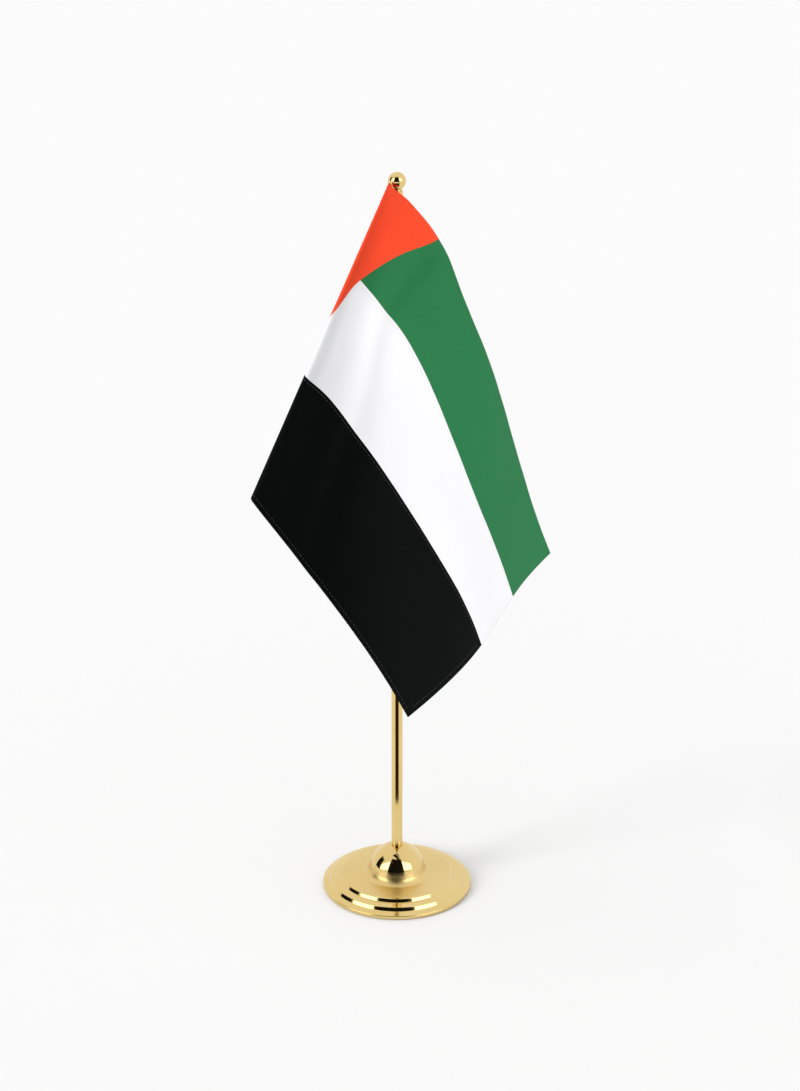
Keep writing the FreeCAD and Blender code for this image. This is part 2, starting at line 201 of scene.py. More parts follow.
# ---------------------------------------------------------------- gold
def gold_material(name, colour, turned, satin=None):
    """Polished gold plating with fine marks, orange peel and smears, and a satin ring between two radii."""
    material, tree, shader = new_material(
        name, Metallic=1.0, Specular_IOR_Level=0.5, Coat_Weight=0.25, Coat_Roughness=0.03)
    place = add_node(tree, "ShaderNodeTexCoord")
    tint = add_node(tree, "ShaderNodeTexNoise")
    set_inputs(tint, Scale=28.0, Detail=3.0, Roughness=0.5)
    tree.links.new(place.outputs["Object"], tint.inputs["Vector"])
    deeper = tuple(part * share for part, share in zip(colour, (0.96, 0.93, 0.85)))
    ramp = colour_ramp(tree, [(0.35, deeper), (0.65, colour)])
    tree.links.new(tint.outputs["Fac"], ramp.inputs["Fac"])
    tree.links.new(ramp.outputs["Color"], shader.inputs["Base Color"])

    smear = add_node(tree, "ShaderNodeTexNoise")
    set_inputs(smear, Scale=90.0, Detail=4.0, Roughness=0.6)
    tree.links.new(place.outputs["Object"], smear.inputs["Vector"])
    dullness = add_node(tree, "ShaderNodeMapRange")
    set_inputs(dullness, From_Min=0.3, From_Max=0.75, To_Min=0.055, To_Max=0.13)
    tree.links.new(smear.outputs["Fac"], dullness.inputs["Value"])
    roughness = dullness.outputs["Result"]
    if satin:
        flat = add_node(tree, "ShaderNodeVectorMath", operation="MULTIPLY")
        flat.inputs[1].default_value = (1, 1, 0)
        tree.links.new(place.outputs["Object"], flat.inputs[0])
        radius = add_node(tree, "ShaderNodeVectorMath", operation="LENGTH")
        tree.links.new(flat.outputs["Vector"], radius.inputs[0])
        ring = between(tree, radius.outputs["Value"], satin[0] * MM, satin[1] * MM, SATIN_FADE * MM)
        roughness = math_node(tree, "MULTIPLY_ADD", ring, SATIN_ROUGHNESS, roughness)
    tree.links.new(roughness, shader.inputs["Roughness"])

    marks = add_node(tree, "ShaderNodeTexWave", wave_type="RINGS" if turned else "BANDS")
    if turned:
        marks.rings_direction = "Z"
        set_inputs(marks, Scale=420.0, Distortion=1.5, Detail=2.0, Detail_Scale=2.0)
    else:
        marks.bands_direction = "Z"
        set_inputs(marks, Scale=160.0, Distortion=3.0, Detail=2.0, Detail_Scale=2.0)
    tree.links.new(place.outputs["Object"], marks.inputs["Vector"])
    bump(tree, shader, marks.outputs["Fac"], 0.02, 0.00002)
    peel = add_node(tree, "ShaderNodeTexNoise")
    set_inputs(peel, Scale=350.0, Detail=2.0)
    tree.links.new(place.outputs["Object"], peel.inputs["Vector"])
    bump(tree, shader, peel.outputs["Fac"], 0.03, 0.00003)
    return material


GOLD = (0.82, 0.62, 0.26)
SATIN_ROUGHNESS = 0.26
SATIN_RING = (14.3, 29.3)
SATIN_FADE = 0.4


# ---------------------------------------------------------------- base, pole and ball
DOME_RADIUS = 14.7
DOME_CENTRE = 9.7
SHELL_SHEET = 0.8
FLARE_TILT = math.radians(16)
FLARE_RADIUS = 4.5


def dome_arc(radius, low, high):
    """Points on the dome's circle between two heights, in millimetres."""
    first, last = (math.asin((height - DOME_CENTRE) / radius) for height in (low, high))
    angles = np.linspace(first, last, 40)
    return [Vector((radius * math.cos(a), DOME_CENTRE + radius * math.sin(a))) for a in angles]


def make_base(material):
    """Spun shell of even sheet: rounded rim, two steps up to the plateau, and a dome that flares into it."""
    low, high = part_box("base_shell")
    edge = high.x / MM
    bottom = low.z / MM
    top = high.z / MM
    bolt_hole = 1.7
    tilt = (math.cos(FLARE_TILT), math.sin(FLARE_TILT))
    flare_start = (DOME_RADIUS * tilt[0], DOME_CENTRE + DOME_RADIUS * tilt[1])
    inner_radius = DOME_RADIUS - SHELL_SHEET
    inner_start = (inner_radius * tilt[0], DOME_CENTRE + inner_radius * tilt[1])
    plateau = 7.6
    under = plateau - SHELL_SHEET
    rim_height = 2.35
    step_foot = (36.5, 3.35)
    step_top = (35.5, 5.25)
    ridge_foot = (31.25, 5.65)
    ridge_top = (30.25, 7.45)
    flare_foot = flare_start[0] + (flare_start[1] - plateau) * math.tan(FLARE_TILT)
    inner_foot = inner_start[0] + (inner_start[1] - under) * math.tan(FLARE_TILT)
    skirt = rounded([
        (edge - SHELL_SHEET, bottom, 0.2),
        (edge, bottom, 0.35),
        (edge, rim_height, 0.4),
        (*step_foot, 0.35),
        (*step_top, 0.55),
        (*ridge_foot, 0.35),
        (*ridge_top, 0.6),
        (flare_foot, plateau, FLARE_RADIUS),
        (*flare_start, 0),
        (*inner_start, 0),
        (inner_foot, under, FLARE_RADIUS + SHELL_SHEET),
        (29.6, 6.7, 0.8),
        (30.6, 4.9, 0.5),
        (34.9, 4.5, 0.5),
        (35.8, 2.6, 0.5),
        (edge - SHELL_SHEET, 1.7, 0.5),
    ], step=math.radians(5))
    dome_start = next(i for i, p in enumerate(skirt) if p == Vector(flare_start))
    outside = dome_arc(DOME_RADIUS, flare_start[1], top)[1:]
    crown = [Vector((bolt_hole, top)), Vector((bolt_hole, top - SHELL_SHEET))]
    inside = dome_arc(inner_radius, inner_start[1], top - SHELL_SHEET)[:0:-1]
    outline = skirt[:dome_start + 1] + outside + crown + inside + skirt[dome_start + 1:]
    base = lathe("spun_base", [p * MM for p in outline], material, segments=256)
    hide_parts("base_shell")
    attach(base, "stand")


def make_pole(material):
    """Drawn tube with softened ends."""
    low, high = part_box("pole_tube")
    radius = high.x / MM
    wall = 0.5
    bore = radius - wall
    outline = rounded([
        (bore, low.z / MM, 0.1),
        (radius, low.z / MM, 0.15),
        (radius, high.z / MM, 0.15),
        (bore, high.z / MM, 0.1),
    ])
    pole = lathe("pole", [p * MM for p in outline], material, segments=96)
    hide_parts("pole_tube")
    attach(pole, "stand")


def make_ball(material):
    """Turned ball with a short grooved neck, bored for its stud."""
    low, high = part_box("finial_ball")
    radius = high.x / MM
    centre = high.z / MM - radius
    bottom = low.z / MM
    neck = 2.4
    groove = neck - 0.25
    neck_height = 0.95
    bore = 1.52
    bore_top = bottom + 5.1
    join = math.asin((bottom + neck_height - centre) / radius)
    angles = np.linspace(join, math.pi / 2, 48)
    sphere = [Vector((radius * math.cos(a), centre + radius * math.sin(a))) for a in angles]
    neck_line = [
        Vector((bore, bottom)),
        Vector((neck - 0.1, bottom)),
        Vector((neck, bottom + 0.1)),
        Vector((neck, bottom + 0.45)),
        Vector((groove, bottom + 0.6)),
        Vector((groove, bottom + 0.75)),
    ]
    sphere[-1].x = 0
    outline = neck_line + sphere + [Vector((0, bore_top)), Vector((bore, bore_top))]
    ball = lathe("ball_finial", [p * MM for p in outline], material, segments=128)
    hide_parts("finial_ball")
    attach(ball, "ball")


# ---------------------------------------------------------------- small parts
def dull_metal_material(name, colour, roughness, grain):
    """Cast or plated metal that is mostly hidden: mottled colour and a pitted bump."""
    material, tree, shader = new_material(name, Metallic=1.0, Roughness=roughness)
    place = add_node(tree, "ShaderNodeTexCoord")
    mottle = add_node(tree, "ShaderNodeTexNoise")
    set_inputs(mottle, Scale=grain, Detail=6.0, Roughness=0.6)
    tree.links.new(place.outputs["Object"], mottle.inputs["Vector"])
    darker = tuple(part * 0.7 for part in colour)
    ramp = colour_ramp(tree, [(0.3, darker), (0.7, colour)])
    tree.links.new(mottle.outputs["Fac"], ramp.inputs["Fac"])
    tree.links.new(ramp.outputs["Color"], shader.inputs["Base Color"])
    bump(tree, shader, mottle.outputs["Fac"], 0.25, 0.0001)
    return material


def felt_material():
    """Dark green pressed felt: fibre clumps in colour and bump, and a soft sheen."""
    material, tree, shader = new_material(
        "pressed_felt", Roughness=0.95, Sheen_Weight=0.5, Sheen_Roughness=0.6)
    place = add_node(tree, "ShaderNodeTexCoord")
    clumps = add_node(tree, "ShaderNodeTexNoise")
    set_inputs(clumps, Scale=900.0, Detail=5.0, Roughness=0.7)
    fibres = add_node(tree, "ShaderNodeTexVoronoi")
    set_inputs(fibres, Scale=1600.0)
    for node in (clumps, fibres):
        tree.links.new(place.outputs["Object"], node.inputs["Vector"])
    ramp = colour_ramp(tree, [(0.35, (0.012, 0.045, 0.022)), (0.7, (0.035, 0.11, 0.055))])
    tree.links.new(clumps.outputs["Fac"], ramp.inputs["Fac"])
    tree.links.new(ramp.outputs["Color"], shader.inputs["Base Color"])
    bump(tree, shader, clumps.outputs["Fac"], 0.6, 0.0003)
    bump(tree, shader, fibres.outputs["Distance"], 0.3, 0.0002)
    return material


def rubber_material():
    """Matte black rubber with a fine moulded grain and a little dust."""
    material, tree, shader = new_material("ring_rubber", Specular_IOR_Level=0.35)
    place = add_node(tree, "ShaderNodeTexCoord")
    grain = add_node(tree, "ShaderNodeTexNoise")
    set_inputs(grain, Scale=1200.0, Detail=4.0)
    tree.links.new(place.outputs["Object"], grain.inputs["Vector"])
    ramp = colour_ramp(tree, [(0.4, (0.012, 0.012, 0.012)), (0.75, (0.03, 0.03, 0.03))])
    tree.links.new(grain.outputs["Fac"], ramp.inputs["Fac"])
    tree.links.new(ramp.outputs["Color"], shader.inputs["Base Color"])
    dullness = add_node(tree, "ShaderNodeMapRange")
    set_inputs(dullness, To_Min=0.55, To_Max=0.75)
    tree.links.new(grain.outputs["Fac"], dullness.inputs["Value"])
    tree.links.new(dullness.outputs["Result"], shader.inputs["Roughness"])
    bump(tree, shader, grain.outputs["Fac"], 0.2, 0.00005)
    return material


def make_felt(material):
    """Felt disc with a slightly rounded edge."""
    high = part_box("felt_pad")[1]
    radius = high.x / MM
    thickness = high.z / MM
    pad = lathe("felt_disc", [p * MM for p in rounded([
        (0, 0, 0),
        (radius, 0, 0.25),
        (radius, thickness, 0.3),
        (0, thickness, 0),
    ])], material, segments=180)
    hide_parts("felt_pad")
    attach(pad, "stand")


def repaint(node, material):
    """Give a CAD node that keeps its shape a finished material."""
    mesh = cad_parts[node].data
    mesh.materials.clear()
    mesh.materials.append(material)


# ---------------------------------------------------------------- cloth: the flat sheet and its drape
# Millimetres on the flat sheet: "along" from the sleeve to the fly, "down" from the top edge.
FLY = 217.0
HOIST = 148.5
RED = 32.4
GREEN = 40.1
WHITE = GREEN + 46.6
SEAM_CORNER = np.array([-3.6, -5.4, 390.6])
SLEEVE_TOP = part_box("flag_sleeve")[1].z / MM - 4.0
SLEEVE_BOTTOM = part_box("flag_sleeve")[0].z / MM
HALF_CLOTH = 0.11
HEM_WIDTH = 3.1
HEM_EXTRA = 0.2
HEM_STITCH = 2.4
LAP_WIDTH = 2.1
SEAM_STITCH = 1.5
SEAM_GAP = 0.06
EDGE_RADIUS = 0.35
EDGE_LEAST = 0.35
SEAM_RADIUS = 0.25
SEAM_LEAST = 0.6
HEM_RAMP = 0.3
HEM_DIMPLE = 0.45
SEAM_DIMPLE = 0.4
DIMPLE_DEPTH = 0.05
UV_PER_MM = 0.1

LEAVING_ANGLE = 3.643
FOLD_ANGLE = 0.492
FOLD_HALF_WIDTH = 0.035
FOLD_BEND = -2.97
FOLD_START_WIDTH = 1.6
FOLD_CREASES = 48
FRONT_CREASES = 240
FAN_SHARE = 0.2
FAN_ANGLE = 0.29
FLY_ANGLE = 0.183
FLY_ANGLE_POWER = 1.5
FRONT_BEND = (3.229, -2.4, -3.162)
FRONT_BEND_POWER = 3.5


def creases():
    """The sheet's bend lines: where each starts along the top edge, its angle and its bend."""
    lines = []
    for number in range(FOLD_CREASES):
        part = (number + 0.5) / FOLD_CREASES
        angle = FOLD_ANGLE + FOLD_HALF_WIDTH * (2 * part - 1)
        bend = FOLD_BEND * (1 - math.cos(2 * math.pi * part)) / FOLD_CREASES
        lines.append((FOLD_START_WIDTH * part, angle, bend))
    for number in range(FRONT_CREASES):
        part = (number + 0.5) / FRONT_CREASES
        beyond_fan = max(0.0, part - FAN_SHARE) / (1 - FAN_SHARE)
        angle = FOLD_ANGLE + FOLD_HALF_WIDTH + FAN_ANGLE * min(part / FAN_SHARE, 1)
        angle += FLY_ANGLE * beyond_fan ** FLY_ANGLE_POWER
        start, slope, curl = FRONT_BEND
        bend = start + slope * part + curl * part ** FRONT_BEND_POWER
        along = FOLD_START_WIDTH + (FLY - FOLD_START_WIDTH) * beyond_fan
        lines.append((along, angle, bend / FRONT_CREASES))
    return lines


def turn_about(axis, angle):
    return np.array(Matrix.Rotation(angle, 3, Vector(axis)))


def strip_places():
    """Rotation and offset that put each flat strip between two creases into space."""
    along = np.array([math.cos(LEAVING_ANGLE), math.sin(LEAVING_ANGLE), 0.0])
    down = np.array([0.0, 0.0, -1.0])
    rotation = np.stack([along, down, np.cross(along, down)], axis=1)
    offset = SEAM_CORNER.copy()
    places = [(rotation, offset)]
    for start, angle, bend in creases():
        direction = np.array([math.sin(angle), math.cos(angle), 0.0])
        origin = np.array([start, 0.0, 0.0])
        pivot = rotation @ origin + offset
        rotation = turn_about(rotation @ direction, bend) @ rotation
        offset = pivot - rotation @ origin
        places.append((rotation, offset))
    return np.array([p[0] for p in places]), np.array([p[1] for p in places])


STRIP_ROTATIONS, STRIP_OFFSETS = strip_places()


def past(along, down, start, angle):
    """Distance past a line of the flat sheet, towards the fly."""
    return (along - start) * math.cos(angle) - down * math.sin(angle)


def laid(along, down):
    """Points in space, in millimetres, and normals, of points of the flat sheet."""
    strip = np.zeros(along.shape, np.int32)
    for start, angle, _ in creases():
        strip += past(along, down, start, angle) > 0
    flat = np.stack([along, down, np.zeros_like(along)], axis=-1)
    rotation = STRIP_ROTATIONS[strip]
    points = np.einsum("...ij,...j->...i", rotation, flat) + STRIP_OFFSETS[strip]
    return points, rotation[..., :, 2]


def smooth_step(value):
    value = np.clip(value, 0, 1)
    return value * value * (3 - 2 * value)


# Moves where the cloth has stretched on the bias and left the plain drape: a place on the
# sheet, how far round it the cloth moved, along and down, and how far it moved right and up.
STRETCH = (
    ((30, 0), (30, 12), (7, -2)),  # top edge beside the ball
    ((90, 40), (45, 25), (-6, 14)),  # green and white seam billows up
    ((150, 40), (45, 25), (-4, 0)),  # and leans back further out
    ((217, 50), (50, 50), (0, 3)),  # fly edge lifts
    ((217, 95), (50, 30), (3, 3)),  # most at the black stripe's corner
    ((110, 100), (50, 25), (-2, 2)),  # black stripe below its seam
    ((150, 148), (60, 25), (-1, 1)),  # bottom edge
)
# How far the cloth has slipped down along the fold, round two places on it.
FOLD_SLIP = (
    ((33, 61), (9, 10), 4.0),
    ((46, 87), (14, 15), 3.5),
)
# The moves fade to nothing over these distances, at the fold and at the sleeve.
FOLD_HOLD = 9.0
SLEEVE_HOLD = 6.0


def nearness(along, down, place, reach):
    """1 at a place on the sheet, falling off over its reach."""
    return np.exp(-(((along - place[0]) / reach[0]) ** 2) - ((down - place[1]) / reach[1]) ** 2)


def stretch(along, down):
    """How far the cloth has moved from the plain drape: none at the sleeve, and at the fold only along it."""
    moved = np.zeros((*along.shape, 3))
    for place, reach, (right, up) in STRETCH:
        moved += nearness(along, down, place, reach)[..., None] * np.array([right, 0.0, up])
    moved *= smooth_step(past(along, down, 0.0, FOLD_ANGLE) / FOLD_HOLD)[..., None]
    fold = np.array([math.sin(FOLD_ANGLE), math.cos(FOLD_ANGLE), 0.0])
    for place, reach, slip in FOLD_SLIP:
        moved += nearness(along, down, place, reach)[..., None] * (STRIP_ROTATIONS[0] @ fold) * slip
    return moved * smooth_step(along / SLEEVE_HOLD)[..., None]


# Soft flutes: where each starts along the top edge, its angle, half width and height, in millimetres.
FLUTES = (
    (9.5, 0.50, 3.4, 0.2),
    (33.0, 0.56, 7.0, -1.5),
    (104.0, 0.80, 22.0, 0.4),
)
# Each flute grows over this length, and none is left at the fold.
FLUTE_ONSET = 25.0
FLUTE_HOLD = 7.0
RIPPLE = 0.08
FINE_RIPPLE = 0.03


def flutes(along, down):
    """Height of the soft flutes and of faint ripples, above the drape."""
    height = np.zeros_like(along)
    for start, angle, width, rise in FLUTES:
        distance = past(along, down, start, angle)
        length = (along - start) * math.sin(angle) + down * math.cos(angle)
        onset = np.clip(length / FLUTE_ONSET + 0.5, 0, 1)
        height += rise * np.exp(-((distance / width) ** 2)) * onset
    height += RIPPLE * np.sin(along / 7.3 + down / 11.0) * np.sin(down / 9.1 - along / 23.0)
    height += FINE_RIPPLE * np.sin(along / 3.1 - down / 5.7 + 1.3)
    from_fold = past(along, down, 0.0, FOLD_ANGLE + FOLD_HALF_WIDTH)
    return height * smooth_step(from_fold / FLUTE_HOLD)


def cloth_at(along, down):
    """Middle of the cloth with its stretch and flutes, and the plain drape's normals."""
    points, normals = laid(along, down)
    return points + stretch(along, down) + normals * flutes(along, down)[..., None], normals


def seam_distance(along, down):
    """Distance to the nearest seam between two panels; the stripes' seams run a little into the red."""
    far_off = 99.0
    among_stripes = along > RED - 2
    to_stripes = [np.where(among_stripes, np.abs(down - seam), far_off) for seam in (GREEN, WHITE)]
    return np.minimum.reduce([np.abs(along - RED)] + to_stripes)


def edge_distance(along, down):
    """Distance to the nearest free edge: top, bottom or fly."""
    return np.minimum.reduce([down, HOIST - down, FLY - along])


def round_over(distance, radius, least):
    """Share of the thickness that is left near an edge: least at the edge, all of it past the radius."""
    inside = np.clip(distance / radius, 0, 1)
    return least + (1 - least) * np.sqrt(1 - (1 - inside) ** 2)


def edge_rounding(along, down):
    """Share of the thickness that is left at a rounded free edge or beside a seam."""
    free = round_over(edge_distance(along, down), EDGE_RADIUS, EDGE_LEAST)
    sewn = round_over(seam_distance(along, down), SEAM_RADIUS, SEAM_LEAST)
    return np.minimum(free, sewn)


def folded_over(distance, width):
    """1 where a hem or seam allowance of this width lies, and 0 beyond it."""
    return 1 - smooth_step((distance - width) / HEM_RAMP + 0.5)


def plus_thickness(along, down):
    """From the cloth's middle to its lined side, where the hems and seam allowances are folded over."""
    hem = np.minimum(edge_distance(along, down), along + 0.8)
    lapped = folded_over(seam_distance(along, down), LAP_WIDTH)
    full = HALF_CLOTH + HEM_EXTRA * np.maximum(folded_over(hem, HEM_WIDTH), lapped)
    return full * edge_rounding(along, down)


def minus_thickness(along, down):
    """From the cloth's middle to its plain side, pulled in along the stitching."""
    hem = np.exp(-(((edge_distance(along, down) - HEM_STITCH) / HEM_DIMPLE) ** 2))
    seam = np.exp(-(((seam_distance(along, down) - SEAM_STITCH) / SEAM_DIMPLE) ** 2))
    return (HALF_CLOTH - DIMPLE_DEPTH * np.maximum(hem, seam)) * edge_rounding(along, down)


def closed_cloth(name, middle, normals, plus, minus, uvs, material):
    """A closed thin mesh on both sides of a grid of points, in millimetres."""
    front = middle + normals * plus[..., None]
    back = middle - normals * minus[..., None]
    rows, columns = middle.shape[:2]
    count = rows * columns
    index = np.arange(count).reshape(rows, columns)
    quads = np.stack([index[:-1, :-1], index[:-1, 1:], index[1:, 1:], index[1:, :-1]], axis=-1)
    quads = quads.reshape(-1, 4)
    rim = np.concatenate([index[0, :-1], index[:-1, -1], index[-1, :0:-1], index[:0:-1, 0]])
    following = np.roll(rim, -1)
    walls = np.stack([rim, following, following + count, rim + count], axis=-1)
    faces = np.concatenate([quads[:, ::-1], quads + count, walls])
    points = np.concatenate([front.reshape(-1, 3), back.reshape(-1, 3)]) * MM
    piece = add_mesh(name, points, faces, material, uvs=np.concatenate([uvs.reshape(-1, 2)] * 2))
    face_outwards(piece)
    return piece


NEAR_EDGE = (0.0, 0.06, 0.18, 0.35, 0.8, 1.2, 1.5, 1.8, 2.1, 2.5, 2.9, 3.1, 3.3, 3.7)


def edge_lines(first, last, step):
    """Places of grid lines between two edges: close together near the edges, then evenly spaced."""
    near = np.array(NEAR_EDGE)
    count = max(2, math.ceil((last - first - 2 * near[-1]) / step))
    middle = np.linspace(first + near[-1], last - near[-1], count + 1)[1:-1]
    return np.concatenate([first + near, middle, last - near[::-1]])


# The fold lies between the sleeve and this distance along the sheet; grid lines are closer there.
FOLD_REACH = 92.0


def panel_columns(left, right, fine, coarse):
    if right < FOLD_REACH:
        return edge_lines(left, right, fine)
    lines = edge_lines(left, right, fine)
    ends = edge_lines(left, right, coarse)
    return np.concatenate([lines[lines < FOLD_REACH], ends[ends >= FOLD_REACH]])


def cloth_panel(name, left, right, top, bottom, steps, material):
    """One panel of the flag, with its hems and lapped seams."""
    fine, coarse, row_step = steps
    along, down = np.meshgrid(panel_columns(left, right, fine, coarse), edge_lines(top, bottom, row_step))
    middle, normals = cloth_at(along, down)
    uvs = np.stack([along, down], axis=-1) * UV_PER_MM
    plus = plus_thickness(along, down)
    return closed_cloth(name, middle, normals, plus, minus_thickness(along, down), uvs, material)


# ---------------------------------------------------------------- stitching
STITCH_PITCH = 2.2
STITCH_LENGTH = 1.7
THREAD_WIDTH = 0.11
THREAD_HEIGHT = 0.07
THREAD_SIDES = 8


def stitch_line(start, end):
    """Flat places of the stitches from one end to the other: an array of (first, last) points."""
    start = np.array(start, float)
    end = np.array(end, float)
    length = np.linalg.norm(end - start)
    count = int(length / STITCH_PITCH)
    direction = (end - start) / length
    firsts = start + direction * (np.arange(count)[:, None] * STITCH_PITCH + 0.2)
    return np.stack([firsts, firsts + direction * STITCH_LENGTH], axis=1)


def make_stitches(name, lines, material):
    """Lock stitches on both sides of the cloth, each a short thread that dips in at both ends."""
    stitches = np.concatenate([stitch_line(*line) for line in lines])
    shares = np.linspace(0, 1, 7)
    flat = stitches[:, :1] + (stitches[:, 1:] - stitches[:, :1]) * shares[None, :, None]
    along, down = flat[..., 0], flat[..., 1]
    middle, normals = cloth_at(along, down)
    ahead = np.gradient(middle, axis=1)
    ahead /= np.linalg.norm(ahead, axis=-1, keepdims=True)
    aside = np.cross(normals, ahead)
    swell = np.sin(np.pi * (0.06 + 0.88 * shares)) ** 0.5
    around = np.linspace(0, 2 * math.pi, THREAD_SIDES, endpoint=False)
    points = []
    faces = []
    for side, thickness in ((1, plus_thickness(along, down)), (-1, minus_thickness(along, down))):
        raised = thickness + THREAD_HEIGHT * (0.7 * swell - 0.35)[None, :]
        centres = middle + normals * (side * raised)[..., None]
        for centre, outward, sideways in zip(centres, normals * side, aside):
            first = len(points)
            for place, up, across, size in zip(centre, outward, sideways, swell):
                for angle in around:
                    offset = across * THREAD_WIDTH * size * math.cos(angle)
                    offset = offset + up * THREAD_HEIGHT * size * math.sin(angle)
                    points.append((place + offset) * MM)
            last = first + (len(shares) - 1) * THREAD_SIDES
            for row in range(first, last, THREAD_SIDES):
                for number in range(THREAD_SIDES):
                    here = row + number
                    other = row + (number + 1) % THREAD_SIDES
                    faces.append((here, other, other + THREAD_SIDES, here + THREAD_SIDES))
            faces.append(tuple(range(first, first + THREAD_SIDES))[::-1])
            faces.append(tuple(range(last, last + THREAD_SIDES)))
    thread = add_mesh(name, points, faces, material)
    face_outwards(thread)
    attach(thread, "flag")
    return thread


# ---------------------------------------------------------------- cloth materials
def satin_material(name, colour, dark_share, sheen, gloss):
    """Polyester satin: crossed threads, slubs that run along the weave, and a soft sheen."""
    material, tree, shader = new_material(
        name, Specular_IOR_Level=gloss, Sheen_Weight=sheen, Sheen_Roughness=0.45)
    flat = add_node(tree, "ShaderNodeUVMap", uv_map="flat")
    threads = []
    for direction, scale in (("X", 14.0), ("Y", 18.0)):
        wave = add_node(tree, "ShaderNodeTexWave", bands_direction=direction)
        set_inputs(wave, Scale=scale, Distortion=0.6, Detail=1.0, Detail_Scale=0.4)
        tree.links.new(flat.outputs["UV"], wave.inputs["Vector"])
        threads.append(wave.outputs["Fac"])
    crossed = math_node(tree, "MULTIPLY", *threads)

    slubs = []
    for stretch in ((1.2, 26.0, 1.0), (34.0, 1.0, 1.0)):
        mapping = add_node(tree, "ShaderNodeMapping")
        mapping.inputs["Scale"].default_value = stretch
        tree.links.new(flat.outputs["UV"], mapping.inputs["Vector"])
        noise = add_node(tree, "ShaderNodeTexNoise")
        set_inputs(noise, Scale=1.0, Detail=3.0, Roughness=0.55)
        tree.links.new(mapping.outputs["Vector"], noise.inputs["Vector"])
        slubs.append(noise.outputs["Fac"])
    slub = math_node(tree, "MULTIPLY", math_node(tree, "ADD", *slubs), 0.5)
    darker = tuple(part * dark_share for part in colour)
    ramp = colour_ramp(tree, [(0.35, darker), (0.65, colour)])
    tree.links.new(slub, ramp.inputs["Fac"])
    tree.links.new(ramp.outputs["Color"], shader.inputs["Base Color"])

    dullness = add_node(tree, "ShaderNodeMapRange")
    set_inputs(dullness, From_Min=0.35, From_Max=0.65, To_Min=0.42, To_Max=0.52)
    tree.links.new(slub, dullness.inputs["Value"])
    tree.links.new(dullness.outputs["Result"], shader.inputs["Roughness"])
    bump(tree, shader, crossed, 0.25, 0.00006)
    bump(tree, shader, slub, 0.15, 0.0002)
    return material


def thread_material(name, colour):
    """Sewing thread: a twisted ply with a slight gloss."""
    material, tree, shader = new_material(name, Specular_IOR_Level=0.4, Sheen_Weight=0.2)
    place = add_node(tree, "ShaderNodeTexCoord")
    ply = add_node(tree, "ShaderNodeTexWave", bands_direction="DIAGONAL")
    set_inputs(ply, Scale=900.0, Distortion=2.0, Detail=2.0)
    tree.links.new(place.outputs["Object"], ply.inputs["Vector"])
    ramp = colour_ramp(tree, [(0.2, tuple(part * 0.75 for part in colour)), (0.8, colour)])
    tree.links.new(ply.outputs["Fac"], ramp.inputs["Fac"])
    tree.links.new(ramp.outputs["Color"], shader.inputs["Base Color"])
    shader.inputs["Roughness"].default_value = 0.5
    bump(tree, shader, ply.outputs["Fac"], 0.3, 0.00005)
    return material


# Each cloth's colour, the share of it that its darker slubs have, its sheen and its gloss.
CLOTHS = {
    "cloth_red": ((0.82, 0.062, 0.020), 0.93, 0.02, 0.12),
    "cloth_green": ((0.016, 0.158, 0.052), 0.86, 0.02, 0.15),
    "cloth_white": ((0.735, 0.73, 0.745), 0.965, 0.02, 0.3),
    "cloth_black": ((0.0022, 0.0028, 0.0027), 0.8, 0.004, 0.04),
}


